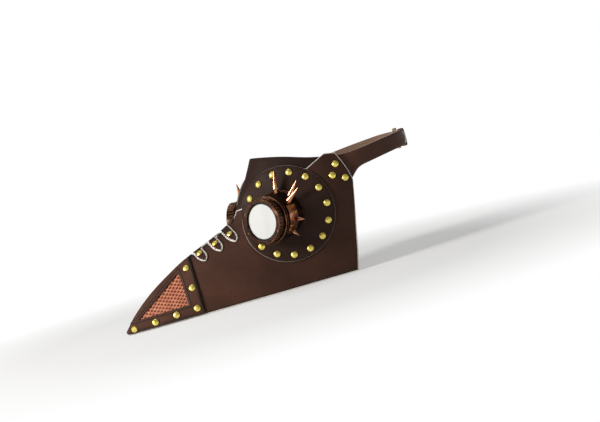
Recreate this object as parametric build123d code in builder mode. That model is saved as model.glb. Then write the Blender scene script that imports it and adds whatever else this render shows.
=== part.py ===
from build123d import *

import math
import os

import numpy as np

# Beaked leather plague doctor mask with spiked copper goggles.
#
# Millimetres. The beak points along -Y, +X is the wearer's left and +Z is up.
# The origin lies on the rest plane, in the plane of symmetry, below the bridge of the nose.
#
# One master surface describes the outside of the side panels. Every sheet of leather, mesh or
# tape is the space between two offsets of that surface, cut to its own outline.

# ---------------------------------------------------------------- leather and sheet
LEATHER = 2.0  # thickness of every leather piece
LAY = 0.1  # air left between two sheets that lie on each other
MESH_SHEET = 0.5
TAPE_SHEET = 1.0
CHIN_Y = 22.0  # where the underside panel stops in front of the chin
REAR_FOOT_Y = 113.0  # lower rear corner of a side panel
PAST = 1.0  # the sheets are lofted this far past the plane of symmetry, then trimmed to it
RIDGE_GAP = 3.0  # slot between the two side panels along the ridge

# offsets of each layer from the master surface: (inner, outer)
PANEL = (-LEATHER, 0.0)
BROW = (-2 * LEATHER - LAY, -LEATHER - LAY)
TAPE = (-LEATHER - LAY - TAPE_SHEET, -LEATHER - LAY)
STRAP = (-3 * LEATHER - 6 * LAY, -2 * LEATHER - 6 * LAY)
NUT = (-LEATHER - LAY - 1.5, -LEATHER - LAY)
PATCH = (LAY, LAY + LEATHER)
MESH = (LAY, LAY + MESH_SHEET)
COVER = (2 * LAY + MESH_SHEET, 2 * LAY + MESH_SHEET + LEATHER)

# ---------------------------------------------------------------- eye patch and goggle
FACING = 22.0  # direction a patch faces, turned from +X towards the beak
PATCH_CENTRE = (48.6, 92.4)  # y, z
PATCH_R = 60.0
PATCH_RIVETS = 15
PATCH_RIVET_R = 51.5
PATCH_FIRST_TURN = 35.5  # the first rivet above the beak, counted up from the beak side
BROW_RIVETS = 5  # the first rivets also hold the forehead panel
BASE_CENTRE = (41.6, 93.0)  # y, z of the goggle's base
BASE_R = 30.0
NECK_R = 25.6
NECK_LENGTH = 11.0
EYE_HOLE_R = NECK_R + 0.3
CUP_WALL = 1.8
RING_OUT = 20.0  # from the base centre to the lens ring's centre: out of the panel,
RING_FORWARD = 13.5  # forward along it,
RING_UP = -1.8  # and up
LENS_YAW = 55.0  # direction a lens looks, turned from +X towards the beak
LENS_PITCH = 5.0
CUP_END_R = 28.0
COLLAR_R = 30.4
COLLAR_LENGTH = 5.5
SEAT_R = 26.2  # the thread a bezel runs on
SEAT_LENGTH = 7.0
SEAT_BORE_R = 23.8
LENS_R = 25.7
LENS_SHEET = 1.6
GASKET_SHEET = 0.8
BEZEL_R = 28.0
BEZEL_BORE_R = 24.4
BEZEL_LIP = 1.4
BEZEL_SKIRT = 6.0  # how far a closed bezel reaches back over the seat
RUN = 0.05  # running clearance of parts that turn or slide
BIG_SPIKE = (23.5, 3.7, 4.5)  # length of the cone, its widest radius, length of the neck
SMALL_SPIKE = (10.0, 2.5, 3.0)
SPIKE_POINT_R = 0.3
SPIKE_ROOT = 3.0  # how far below its foot a spike's neck is made, before the cup cuts it
SPIKE_GAP = 0.05
# clock angle from up towards the ear, place along the lens axis, height of the foot above that
# axis, and size of each spike
LEFT_SPIKES = (
    (8, -19, 31.5, BIG_SPIKE), (44, -21, 29.0, BIG_SPIKE), (56, -12.5, 28.0, BIG_SPIKE),
    (102, -22, 26.0, SMALL_SPIKE), (132, -16, 26.5, SMALL_SPIKE),
)
RIGHT_SPIKES = (
    (-20, -7, 28.5, BIG_SPIKE), (24, -19, 31.0, BIG_SPIKE), (60, -14, 28.0, BIG_SPIKE),
    (102, -22, 26.0, SMALL_SPIKE), (132, -16, 26.5, SMALL_SPIKE),
)
BEZEL_FLUTES = 40
VENT_TURNS = (-52.0, 28.0)  # the vent plate covers this part of the cup, from the ear side up
VENT_START = -7.0  # and this stretch of it, along the lens axis
VENT_END = -24.0
VENT_LIFT = 0.15
VENT_SHEET = 1.15
VENT_SCROLLS = ((-36, -15, 3.6), (-14, -13, 3.4), (9, -13.5, 3.2))  # turn, place, radius

# ---------------------------------------------------------------- rivets
RIVET_HEAD_R = 4.1
RIVET_HEAD_H = 1.9
RIVET_RIM = 0.3
RIVET_SHANK_R = 1.5
RIVET_SEAT = 0.2  # a head stands this far off the leather
RIVET_BACK_R = 3.2
RIVET_BACK_H = 0.8

# ---------------------------------------------------------------- head strap and buckle
HEAD_BACK_Y = 234.0
STRAP_WIDTH = 20.0
STRAP_BACK_Z = 143.6
BAR_R = 1.0  # heel bar of the buckle
BAR_X = 2.0
FRAME_R = 1.3
FRAME_REACH = 17.0  # from the heel bar to the far bar
FRAME_LEAN = 9.0  # the far bar stands off the head by this angle
LOOP_GAP = 0.15
KEEPER_X = 17.0
KEEPER_WIDTH = 8.0
PRONG_R = 0.9
PRONG_EYE = 2.6  # length of the prong's eye along the bar
PRONG_SLOT = 3.2


def curve_through(*knots):
    """A smooth function through (place, value) pairs."""
    place, value = (np.array(column, float) for column in zip(*knots))
    slope = np.gradient(value, place)

    def at(z):
        i = int(np.clip(np.searchsorted(place, z) - 1, 0, len(place) - 2))
        h = place[i + 1] - place[i]
        s = (z - place[i]) / h
        start = (1 + 2 * s) * (1 - s) ** 2 * value[i] + s * (1 - s) ** 2 * h * slope[i]
        end = s * s * (3 - 2 * s) * value[i + 1] + s * s * (s - 1) * h * slope[i + 1]
        return float(start + end)

    return at


# The master surface, level by level: x = half_width * (1 - (1 - t) ** bow) ** (1 / blunt),
# where t runs from 0 at the front, y = front_y, to 1 at the rear, y = rear_y.
front_y = curve_through(
    (-8, -187), (0, -179.5), (20, -161), (40, -135), (56, -108), (70, -80), (77, -61), (84, -41.5),
    (90, -27.5), (97, -14), (104, -7), (110, -3), (116, -1.5), (128, 5.5), (137, 13), (157, 25.8),
    (172, 34), (180, 37),
)
half_width = curve_through((-8, 75), (0, 76), (40, 78.5), (90, 79), (130, 77), (155, 74), (180, 69))
bow = curve_through(
    (-8, 1.05), (0, 1.05), (30, 1.06), (60, 1.2), (75, 1.5), (93, 2.0), (108, 2.5), (125, 2.0),
    (142, 1.65), (180, 1.6),
)
blunt = curve_through(
    (-8, 1.22), (0, 1.22), (50, 1.15), (100, 1.1), (112, 1.15), (126, 1.55), (142, 2.1), (180, 2.2),
)


def rear_y(z):
    return 124.0 + 0.19 * z


def surface_point(t, z):
    """Point of the master surface, on the wearer's left."""
    share = (1 - (1 - t) ** bow(z)) ** (1 / max(1.0, blunt(z)))
    return np.array([half_width(z) * share, front_y(z) + (rear_y(z) - front_y(z)) * t, z])


def surface_normal(t, z):
    """Outward normal of the master surface."""
    step = 1e-4
    low, high = max(t - step, 1e-6), min(t + step, 1 - 1e-6)
    along = surface_point(high, z) - surface_point(low, z)
    up = surface_point((low + high) / 2, z + 0.05) - surface_point((low + high) / 2, z - 0.05)
    normal = np.cross(along, up)
    return normal / np.linalg.norm(normal)


def level_curve(z, offset, points=22):
    """Level curve of the offset surface from just past the plane of symmetry to the rear.

    All levels share one spacing of their points, which keeps the lofted sheets light."""
    curve = []
    for t in np.linspace(0.0, 1.0, 260) ** 2:
        normal = surface_normal(t, z)
        level = max(math.hypot(normal[0], normal[1]), 0.35)
        curve.append(surface_point(t, z)[:2] + normal[:2] / level**2 * offset)
    curve = np.array(curve)
    curve[-1][1] = rear_y(z)
    if curve[0][0] > 0:
        back = curve[0] - curve[1]
        curve = np.vstack([curve[0] + back * (curve[0][0] / -back[0]), curve])
    last = int(np.nonzero(curve[:, 0] <= 1e-9)[0][-1])
    a, b = curve[last], curve[last + 1]
    curve = np.vstack([a + (b - a) * ((-PAST - a[0]) / (b[0] - a[0])), curve[last + 1 :]])
    length = np.concatenate([[0], np.cumsum(np.linalg.norm(np.diff(curve, axis=0), axis=1))])
    shares = np.linspace(0, 1, points) ** 1.4
    spots = [Vector(*[np.interp(s * length[-1], length, axis) for axis in curve.T]) for s in shares]
    return Edge.make_spline(spots, parameters=list(shares))


LEVELS = [*range(-6, 65, 10), *range(70, 161, 6), 169, 179]  # heights of the lofted sections


def hull(offset):
    """Left half of the solid inside the master surface pushed out by offset."""
    with BuildPart() as body:
        for level in LEVELS:
            side = level_curve(level, offset)
            with BuildSketch(Plane.XY.offset(level)):
                with BuildLine():
                    add(side)
                    Polyline(side @ 1, (-PAST, rear_y(level)), side @ 0)
                make_face()
        loft()
    return body.part


def skin(layer):
    """Left half of the sheet between two offsets of the master surface."""
    with BuildPart() as body:
        for level in LEVELS:
            outer = level_curve(level, layer[1])
            inner = level_curve(level, layer[0])
            with BuildSketch(Plane.XY.offset(level)):
                with BuildLine():
                    add([outer, inner])
                    Line(outer @ 0, inner @ 0)
                    Line(outer @ 1, inner @ 1)
                make_face()
        loft()
    return body.part


def on_side(y, z):
    """Share t of the level curve at which the side view shows the place (y, z)."""
    return (y - front_y(z)) / (rear_y(z) - front_y(z))


def normal_plane(y, z):
    """Plane on the master surface at a place of the side view, facing outward."""
    t = on_side(y, z)
    return Plane(origin=tuple(surface_point(t, z)), z_dir=tuple(surface_normal(t, z)))


yaw = math.radians(FACING)
OUT = np.array([math.cos(yaw), -math.sin(yaw), 0.0])
TO_BEAK = np.array([-math.sin(yaw), -math.cos(yaw), 0.0])


def around_patch(radius, turn):
    """Side-view place on the circle of this radius around the patch, turn = 0 towards the beak."""
    z = PATCH_CENTRE[1] + radius * math.sin(math.radians(turn))
    centre = surface_point(on_side(*PATCH_CENTRE), PATCH_CENTRE[1])
    reach = radius * math.cos(math.radians(turn))
    low, high = 0.0, 1.0
    for _ in range(40):
        middle = (low + high) / 2
        if (surface_point(middle, z) - centre) @ TO_BEAK > reach:
            low = middle
        else:
            high = middle
    return float(surface_point(low, z)[1]), z


# ---------------------------------------------------------------- places seen from the side
patch_axis = Plane(
    origin=tuple(surface_point(on_side(*PATCH_CENTRE), PATCH_CENTRE[1])), z_dir=tuple(OUT)
)
base_top = surface_point(on_side(*BASE_CENTRE), BASE_CENTRE[1])
base_top = base_top + surface_normal(on_side(*BASE_CENTRE), BASE_CENTRE[1]) * PATCH[1]
base_plane = Plane(origin=tuple(base_top), x_dir=tuple(-TO_BEAK), z_dir=tuple(OUT))

rivet_step = 360 / PATCH_RIVETS
patch_rivets = [
    around_patch(PATCH_RIVET_R, PATCH_FIRST_TURN + rivet_step * i) for i in range(PATCH_RIVETS)
]
brow_rivets = patch_rivets[: BROW_RIVETS]
cheek_rivets = patch_rivets[BROW_RIVETS:]
temple_rivets = [(120.7, 136.4), (112.9, 123.7), (127.4, 116.8)]
tab_rivets = [(-62.7, 72.7), (-40.9, 79.2), (-20.3, 85.6)]
tip_rivets = [(-141.8, 6.9), (-115.1, 8.6), (-88.9, 9.9), (-86.9, 35.2), (-85.0, 59.6)]
tip_bolt = (-168.0, 5.4)
window = [(-96.0, 56.6), (-97.4, 16.3), (-159.6, 14.8)]


def panel_outline():
    """Side view of a side panel: beak, cheek and temple tab."""
    under_patch = [around_patch(56.0, turn) for turn in (22, 45, 70, 95, 115)]
    Polyline((86.0, 141.0), (110.2, 152.6), (125.0, 149.6), (133.0, 128.0), (136.4, 112.0))
    Spline((136.4, 112.0), (126.0, 62.0), (118.5, 24.0), (REAR_FOOT_Y, 0))
    Polyline((REAR_FOOT_Y, 0), (-200.0, 0), (-200.0, 112.0), under_patch[0])
    Spline(*under_patch, (86.0, 141.0))


def brow_outline():
    """Side view of the forehead panel."""
    first = PATCH_FIRST_TURN - rivet_step / 2
    last = first + BROW_RIVETS * rivet_step
    lower = [around_patch(46.0, first + (last - first) * i / 6) for i in range(7)]
    Spline(*lower)
    Polyline(lower[-1], (98.0, 121.0), (107.0, 114.5), (131.0, 110.0), (131.0, 116.0), (120.5, 147.5))
    Spline((120.5, 147.5), (92.0, 154.0), (62.0, 164.0), (20.0, 172.0))
    Polyline((20.0, 172.0), (-30.0, 172.0), (-30.0, 106.5), lower[0])


def cover_outline():
    """Side view of the beak tip cover, without its window."""
    Polyline((-81.7, 1.0), (-200.0, 1.0), (-200.0, 90.0), (-75.5, 90.0), (-76.2, 74.0))
    ThreePointArc((-76.2, 74.0), (-79.6, 38.0), (-81.7, 1.0))


def tab_outline(y, z):
    """Side view of a ridge tab around its rivet: a shield with its point down."""
    across = np.array([0.98, 0.19])
    down = np.array([0.19, -0.98])

    def corner(right, low):
        return tuple(np.array([y, z]) + across * right + down * low)

    Polyline(corner(-6.7, 3.0), corner(-6.7, -16.0), corner(6.7, -16.0), corner(6.7, 3.0))
    Spline(corner(6.7, 3.0), corner(4.3, 7.6), corner(0.0, 10.2))
    Spline(corner(0.0, 10.2), corner(-4.3, 7.6), corner(-6.7, 3.0))


def strap_outline():
    """Side view of a head strap, wide under the temple and level behind the head."""
    low = STRAP_BACK_Z - STRAP_WIDTH / 2
    high = STRAP_BACK_Z + STRAP_WIDTH / 2
    Spline((137.0, 113.0), (150.0, 124.0), (168.0, 127.6), (200.0, 131.5), (224.0, low))
    Polyline((224.0, low), (250.0, low), (250.0, high), (224.0, high))
    Spline((224.0, high), (190.0, 150.5), (150.0, 146.5), (124.0, 146.0))
    Polyline((124.0, 146.0), (110.0, 141.0), (107.0, 118.0), (122.0, 111.0), (137.0, 113.0))


def triangle(grow):
    """Side view of the vent, grown all round."""
    Polygon(*window, align=None)
    offset(amount=grow, kind=Kind.ARC)


# ---------------------------------------------------------------- leather, mesh and tape
def cut_out(layer, outline):
    """Left half of the part of a layer that lies inside a side-view outline."""
    whole = skin(layer)
    with BuildPart() as piece:
        add(whole)
        with BuildSketch(Plane.YZ):
            with BuildLine():
                outline()
            make_face()
        extrude(amount=120, mode=Mode.INTERSECT)
    return piece.part


def punch(places, radius=RIVET_SHANK_R + 0.15):
    """Rivet holes square to the surface."""
    with Locations(*[normal_plane(y, z).location for y, z in places]):
        Cylinder(radius, 24, mode=Mode.SUBTRACT)


def punch_along(plane, radius):
    with Locations(plane.location):
        Cylinder(radius, 120, mode=Mode.SUBTRACT)


def punch_bolt():
    """Hole for the rivet that goes straight across the beak tip."""
    with Locations((0, *tip_bolt)):
        Cylinder(RIVET_SHANK_R + 0.15, 60, rotation=(0, 90, 0), mode=Mode.SUBTRACT)


def open_slot(half):
    """Clear the plane of symmetry by half a slot."""
    Box(2 * half, 600, 600, mode=Mode.SUBTRACT)


def save(part, name):
    part.label = name
    export_step(part, f"parts/{name}.step")


def save_pair(part, name):
    """Save a left part and its mirror image."""
    save(part, f"left_{name}")
    save(mirror(part, about=Plane.YZ), f"right_{name}")


def side_panel():
    sheet = cut_out(PANEL, panel_outline)
    with BuildPart() as panel:
        add(sheet)
        open_slot(RIDGE_GAP / 2)
        with BuildSketch(Plane.YZ):
            triangle(0.5)
        extrude(amount=120, mode=Mode.SUBTRACT)
        punch(patch_rivets + temple_rivets + tab_rivets + tip_rivets)
        punch_bolt()
        punch_along(base_plane, EYE_HOLE_R)
    save_pair(panel.part, "side_panel")


def eye_patch():
    sheet = skin(PATCH)
    with BuildPart() as patch:
        add(sheet)
        with Locations(patch_axis.location):
            Cylinder(PATCH_R, 120, mode=Mode.INTERSECT)
        punch(patch_rivets)
        punch_along(base_plane, EYE_HOLE_R)
    save_pair(patch.part, "eye_patch")


def folded(half):
    """Both halves of a piece that is folded over the ridge, as one solid."""
    with BuildPart() as whole:
        add(half)
        mirror(about=Plane.YZ)
    return whole.part


def forehead_panel():
    sheet = cut_out(BROW, brow_outline)
    with BuildPart() as brow:
        add(sheet)
        punch(brow_rivets + temple_rivets)
    save(folded(brow.part), "forehead_panel")


def ridge_lining():
    def outline():
        Polyline((-170, 4), (0, 4), (0, 102), (-60, 102), (-170, 30), close=True)

    sheet = cut_out(TAPE, outline)
    with BuildPart() as tape:
        add(sheet)
        Box(14, 600, 600, mode=Mode.INTERSECT)
        punch(tab_rivets + tip_rivets)
        punch_bolt()
    save(folded(tape.part), "ridge_lining")


def ridge_tabs():
    for name, place in zip(("front", "middle", "rear"), tab_rivets):
        sheet = cut_out(PATCH, lambda: tab_outline(*place))
        with BuildPart() as tab:
            add(sheet)
            punch([place])
        save(folded(tab.part), f"{name}_ridge_tab")


def beak_tip_cover():
    sheet = cut_out(COVER, cover_outline)
    with BuildPart() as cover:
        add(sheet)
        with BuildSketch(Plane.YZ):
            triangle(0)
        extrude(amount=120, mode=Mode.SUBTRACT)
        punch(tip_rivets)
        punch_bolt()
    save(folded(cover.part), "beak_tip_cover")


def vent_mesh():
    sheet = skin(MESH)
    with BuildPart() as mesh:
        add(sheet)
        with BuildSketch(Plane.YZ):
            triangle(3.5)
        extrude(amount=120, mode=Mode.INTERSECT)
        open_slot(0.8)
    save_pair(mesh.part, "vent_mesh")


def underside_panel():
    inside = hull(-LEATHER - LAY)
    with BuildPart() as floor:
        with BuildSketch():
            with Locations((0, CHIN_Y)):
                Rectangle(90, 220, align=(Align.MIN, Align.MAX))
        extrude(amount=LEATHER)
        add(inside, mode=Mode.INTERSECT)
    save(folded(floor.part), "underside_panel")


# ---------------------------------------------------------------- goggles
lens_yaw = math.radians(LENS_YAW)
lens_pitch = math.radians(LENS_PITCH)
LOOK = np.array([
    math.cos(lens_yaw) * math.cos(lens_pitch),
    -math.sin(lens_yaw) * math.cos(lens_pitch),
    math.sin(lens_pitch),
])
TO_EAR = np.array([math.sin(lens_yaw), math.cos(lens_yaw), 0.0])
ring_centre = base_top + OUT * RING_OUT + TO_BEAK * RING_FORWARD + np.array([0, 0, RING_UP])
lens_plane = Plane(origin=tuple(ring_centre), x_dir=tuple(TO_EAR), z_dir=tuple(LOOK))
SEAT_START = 3.0  # along the lens axis from the ring centre
SEAT_END = SEAT_START + SEAT_LENGTH
COLLAR_START = SEAT_START - COLLAR_LENGTH


def radial_plane(turn, along, radius):
    """Plane square to a spoke of the lens axis, turn counted from up towards the ear."""
    spoke = math.radians(90 - turn)
    direction = lens_plane.x_dir * math.cos(spoke) + lens_plane.y_dir * math.sin(spoke)
    origin = lens_plane.origin + lens_plane.z_dir * along + direction * radius
    return Plane(origin=origin, z_dir=direction)


def cup_body(shrink):
    """Outside of a cup, or its inside when shrunk by the wall."""
    with BuildPart() as body:
        with BuildSketch(base_plane.offset(2.0)):
            Circle(BASE_R - 1.0 - shrink)
        with BuildSketch(lens_plane.offset(COLLAR_START - 1.0)):
            Circle(CUP_END_R - shrink)
        loft()
    return body.part


def tube(plane, start, end, outer, inner):
    """Round tube along the normal of a plane."""
    with BuildPart() as piece:
        with BuildSketch(plane.offset(start)):
            Circle(outer)
            Circle(inner, mode=Mode.SUBTRACT)
        extrude(amount=end - start)
    return piece.part


def goggle_cup():
    outside = cup_body(0)
    inside = cup_body(CUP_WALL)
    mask = hull(PATCH[1] + LAY)
    bore = NECK_R - CUP_WALL
    with BuildPart() as shell:
        with BuildSketch(base_plane.offset(-8.0)):
            Circle(BASE_R + 1.0)
        extrude(amount=10.0)
        add(outside)
        with BuildSketch(lens_plane.offset(COLLAR_START - 1.0)):
            Circle(CUP_END_R)
        extrude(amount=COLLAR_LENGTH + 1.0)
        add(mask, mode=Mode.SUBTRACT)
        with BuildSketch(base_plane.offset(-NECK_LENGTH)):
            Circle(NECK_R)
        extrude(amount=NECK_LENGTH + 1.0)
        with BuildSketch(lens_plane.offset(SEAT_START - 1.0)):
            Circle(SEAT_R)
        extrude(amount=SEAT_LENGTH + 1.0)
        with BuildSketch(base_plane.offset(-NECK_LENGTH)):
            Circle(bore)
        extrude(amount=NECK_LENGTH + 2.5, mode=Mode.SUBTRACT)
        add(inside, mode=Mode.SUBTRACT)
        with BuildSketch(lens_plane.offset(COLLAR_START - 1.5)):
            Circle(SEAT_BORE_R)
        extrude(amount=SEAT_END - COLLAR_START + 1.5, mode=Mode.SUBTRACT)
    save_pair(shell.part, "goggle_cup")


def goggle_nut():
    sheet = skin(NUT)
    with BuildPart() as nut:
        add(sheet)
        with Locations(base_plane.location):
            Cylinder(NECK_R + 6.0, 60, mode=Mode.INTERSECT)
        punch_along(base_plane, NECK_R + 0.1)
    save_pair(nut.part, "goggle_nut")


def goggle_collar():
    ring = tube(lens_plane, COLLAR_START, SEAT_START - 0.2, COLLAR_R, CUP_END_R + 0.05)
    with BuildPart() as collar:
        add(ring)
        chamfer(collar.edges().filter_by(GeomType.CIRCLE).group_by(SortBy.RADIUS)[-1], 0.5)
    save_pair(collar.part, "goggle_collar")


def spike(cone, widest, neck):
    """One spike standing on the XY plane, its root reaching below."""
    with BuildPart() as piece:
        with BuildSketch(Plane.XZ):
            Polygon(
                (0, -SPIKE_ROOT), (0.6 * widest, -SPIKE_ROOT), (0.6 * widest, neck),
                (widest, neck + 0.6), (widest, neck + 1.6), (SPIKE_POINT_R, neck + cone),
                (0, neck + cone), align=None,
            )
        revolve(axis=Axis.Z)
    return piece.part


def goggle_spikes(places):
    """Spikes of one goggle, their feet shaped to the cup and collar they are soldered to."""
    outside = cup_body(-SPIKE_GAP)
    with BuildPart() as group:
        for turn, along, foot, size in places:
            one = spike(*size)
            with Locations(radial_plane(turn, along, foot).location):
                add(one)
        add(outside, mode=Mode.SUBTRACT)
        with BuildSketch(lens_plane.offset(COLLAR_START - 1.0 - SPIKE_GAP)):
            Circle(COLLAR_R + SPIKE_GAP)
        extrude(amount=COLLAR_LENGTH + 1.0, mode=Mode.SUBTRACT)
    return group.part


def vent_plate(places):
    """Pierced plate on the ear side of a cup, with holes for the spikes that stand on it."""
    low, high = VENT_TURNS
    outside = cup_body(-VENT_LIFT - VENT_SHEET)
    inside = cup_body(-VENT_LIFT)
    with BuildPart() as plate:
        add(outside)
        add(inside, mode=Mode.SUBTRACT)
        with BuildSketch(lens_plane.offset(VENT_END)):
            with BuildLine():
                PolarLine((0, 0), 60, low)
                CenterArc((0, 0), 60, low, high - low)
                PolarLine((0, 0), 60, high)
            make_face()
        extrude(amount=VENT_START - VENT_END, mode=Mode.INTERSECT)
        for turn, along, size in VENT_SCROLLS:
            with BuildSketch(radial_plane(90 - turn, along, 22)):
                SlotArc(CenterArc((0, 0), size, 50, 255).edge(), 1.8)
            extrude(amount=20, mode=Mode.SUBTRACT)
        for turn, along, foot, size in places:
            with Locations(radial_plane(turn, along, foot).location):
                Cylinder(0.6 * size[1] + 0.1, 3 * SPIKE_ROOT, mode=Mode.SUBTRACT)
    return plate.part


def save_each(make, name):
    """Save a part that differs between the goggles; both are made on the wearer's left."""
    save(make(LEFT_SPIKES), f"left_{name}")
    save(mirror(make(RIGHT_SPIKES), about=Plane.YZ), f"right_{name}")


def lens_and_gasket():
    start = SEAT_END + RUN
    gasket = tube(lens_plane, start, start + GASKET_SHEET, LENS_R, SEAT_BORE_R)
    save_pair(gasket, "goggle_gasket")
    with BuildPart() as lens:
        with BuildSketch(lens_plane.offset(start + GASKET_SHEET)):
            Circle(LENS_R)
        extrude(amount=LENS_SHEET)
    save_pair(lens.part, "goggle_lens")


def bezel():
    lip = SEAT_END + RUN + GASKET_SHEET + LENS_SHEET + RUN
    back = lip - BEZEL_SKIRT - GASKET_SHEET - LENS_SHEET
    skirt = tube(lens_plane, back, lip + BEZEL_LIP, BEZEL_R, SEAT_R + RUN)
    with BuildPart() as ring:
        add(skirt)
        with BuildSketch(lens_plane.offset(lip)):
            Circle(BEZEL_R)
            Circle(BEZEL_BORE_R, mode=Mode.SUBTRACT)
        extrude(amount=BEZEL_LIP)
        outer = ring.edges().filter_by(GeomType.CIRCLE).group_by(SortBy.RADIUS)[-1]
        chamfer(outer, 0.5)
        with BuildSketch(lens_plane.offset(back)):
            with PolarLocations(BEZEL_R + 0.35, BEZEL_FLUTES):
                Circle(0.8)
        extrude(amount=lip - back - 1.0, mode=Mode.SUBTRACT)
    save_pair(ring.part, "goggle_bezel")


# ---------------------------------------------------------------- rivets
def rivet(top, bottom):
    """One rivet on the XY plane: domed head above top, flat back below bottom."""
    seat = top + RIVET_SEAT
    back = bottom - RIVET_SEAT
    with BuildPart() as piece:
        with BuildSketch(Plane.XZ):
            with BuildLine():
                Polyline(
                    (0, back - RIVET_BACK_H), (RIVET_BACK_R, back - RIVET_BACK_H),
                    (RIVET_BACK_R, back), (RIVET_SHANK_R, back), (RIVET_SHANK_R, seat),
                    (RIVET_HEAD_R, seat), (RIVET_HEAD_R, seat + RIVET_RIM),
                )
                dome = RIVET_HEAD_H - RIVET_RIM
                ball = (RIVET_HEAD_R**2 + dome**2) / (2 * dome)
                half = RIVET_HEAD_R / 2
                ThreePointArc(
                    (RIVET_HEAD_R, seat + RIVET_RIM),
                    (half, seat + RIVET_HEAD_H - ball + math.sqrt(ball**2 - half**2)),
                    (0, seat + RIVET_HEAD_H),
                )
                Line((0, seat + RIVET_HEAD_H), (0, back - RIVET_BACK_H))
            make_face()
        revolve(axis=Axis.Z)
    return piece.part


def rivet_group(name, *batches):
    """Left and right groups of rivets; a batch is (places, top, bottom)."""
    with BuildPart() as group:
        for places, top, bottom in batches:
            one = rivet(top, bottom)
            with Locations(*[normal_plane(y, z).location for y, z in places]):
                add(one)
    save_pair(group.part, name)


def rivets():
    panel_in, brow_in, strap_in, tape_in = PANEL[0], BROW[0], STRAP[0], TAPE[0]
    rivet_group(
        "patch_rivets", (brow_rivets, PATCH[1], brow_in), (cheek_rivets, PATCH[1], panel_in)
    )
    rivet_group("temple_rivets", (temple_rivets, PANEL[1], strap_in))
    rivet_group("tab_rivets", (tab_rivets, PATCH[1], tape_in))
    rivet_group(
        "tip_rivets", (tip_rivets[:-1], COVER[1], panel_in), (tip_rivets[-1:], COVER[1], tape_in - 0.5)
    )


def tip_bolt_rivet():
    """Rivet straight across the beak tip, with a domed head on each side."""
    y, z = tip_bolt
    side = normal_plane(y, z)
    head = side.offset(COVER[1] + RIVET_SEAT)
    with BuildPart() as piece:
        with BuildSketch(head):
            Circle(RIVET_HEAD_R)
        extrude(amount=RIVET_HEAD_H, taper=35)
        mirror(about=Plane.YZ)
        with BuildSketch(Plane.YZ.offset(-head.origin.X - 0.4)):
            with Locations((y, z)):
                Circle(RIVET_SHANK_R)
        extrude(amount=2 * (head.origin.X + 0.4))
    save(piece.part, "beak_tip_through_rivet")


# ---------------------------------------------------------------- head straps and buckle
def strap_run(z, back):
    """Plan view of a strap's middle at a height: from under the temple tab to the back."""
    run = []
    middle = (STRAP[0] + STRAP[1]) / 2
    for y in (100.0, 112.0, 124.0, 136.0):
        t = on_side(y, z)
        place = surface_point(t, z) + surface_normal(t, z) * middle
        run.append((place[0], place[1]))
    return run + [(72.0, 156.0), (67.5, 178.0), (58.0, 201.0), (45.0, 220.0)] + back


def strap_body(back):
    """Strap of constant thickness, trimmed to its side view."""
    with BuildPart() as body:
        for level in (100.0, 112.0, 124.0, 136.0, 148.0, 160.0):
            with BuildLine(mode=Mode.PRIVATE) as guide:
                Spline(*strap_run(level, back))
            middle = guide.edges()[0]
            places = [i / 44 for i in range(45)]
            left, right = [], []
            for place in places:
                point, tangent = middle @ place, middle % place
                side = Vector(tangent.Y, -tangent.X) * (LEATHER / 2)
                left.append((point.X - side.X, point.Y - side.Y))
                right.append((point.X + side.X, point.Y + side.Y))
            with BuildSketch(Plane.XY.offset(level)):
                with BuildLine():
                    one = Spline(*left)
                    other = Spline(*right)
                    Line(one @ 0, other @ 0)
                    Line(one @ 1, other @ 1)
                make_face()
        loft()
        with BuildSketch(Plane.YZ.offset(-40)):
            with BuildLine():
                strap_outline()
            make_face()
        extrude(amount=140, mode=Mode.INTERSECT)
        punch(temple_rivets)
    return body.part


def leaning_plane(lean):
    """Plane through the heel bar whose x points at the far bar, leaning off the head."""
    turn = math.radians(lean)
    return Plane(
        origin=(BAR_X, HEAD_BACK_Y, STRAP_BACK_Z),
        x_dir=(-math.cos(turn), math.sin(turn), 0),
        z_dir=(math.sin(turn), math.cos(turn), 0),
    )


bar_plane = leaning_plane(FRAME_LEAN)
LOOP_R = BAR_R + LOOP_GAP + LEATHER


def left_strap():
    """Strap that ends in a loop around the heel bar of the buckle."""
    back = [(30.0, 231.6), (20.0, HEAD_BACK_Y), (12.0, HEAD_BACK_Y), (BAR_X + 2.0, HEAD_BACK_Y)]
    run = strap_body(back)
    with BuildPart() as strap:
        add(run)
        with BuildSketch(Plane.XY.offset(STRAP_BACK_Z - STRAP_WIDTH / 2)):
            with Locations((BAR_X, HEAD_BACK_Y)):
                Circle(LOOP_R)
        extrude(amount=STRAP_WIDTH)
        with Locations((BAR_X, HEAD_BACK_Y, STRAP_BACK_Z)):
            Cylinder(BAR_R + LOOP_GAP, 60, mode=Mode.SUBTRACT)
            Box(2 * LOOP_R + 1.0, 20, PRONG_SLOT, mode=Mode.SUBTRACT)
    save(strap.part, "left_head_strap")


def right_strap():
    """Strap whose tail passes under the far bar, over the loop and through the keeper."""
    tail_y = HEAD_BACK_Y + LEATHER + 2 * LAY + 0.1
    back = [
        (30.0, 231.6), (22.0, HEAD_BACK_Y), (17.0, HEAD_BACK_Y), (12.5, HEAD_BACK_Y + 0.1),
        (6.0, HEAD_BACK_Y + 1.7), (-2.0, HEAD_BACK_Y + LOOP_R + 1.4), (-9.0, tail_y + 0.4),
        (-13.0, tail_y), (-20.0, tail_y), (-25.0, tail_y),
    ]
    run = strap_body(back)
    with BuildPart() as strap:
        add(run)
        with Locations((5.7, HEAD_BACK_Y + 2, STRAP_BACK_Z)):
            Box(11.0, 20, PRONG_SLOT, mode=Mode.SUBTRACT)
    save(mirror(strap.part, about=Plane.YZ), "right_head_strap")


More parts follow.
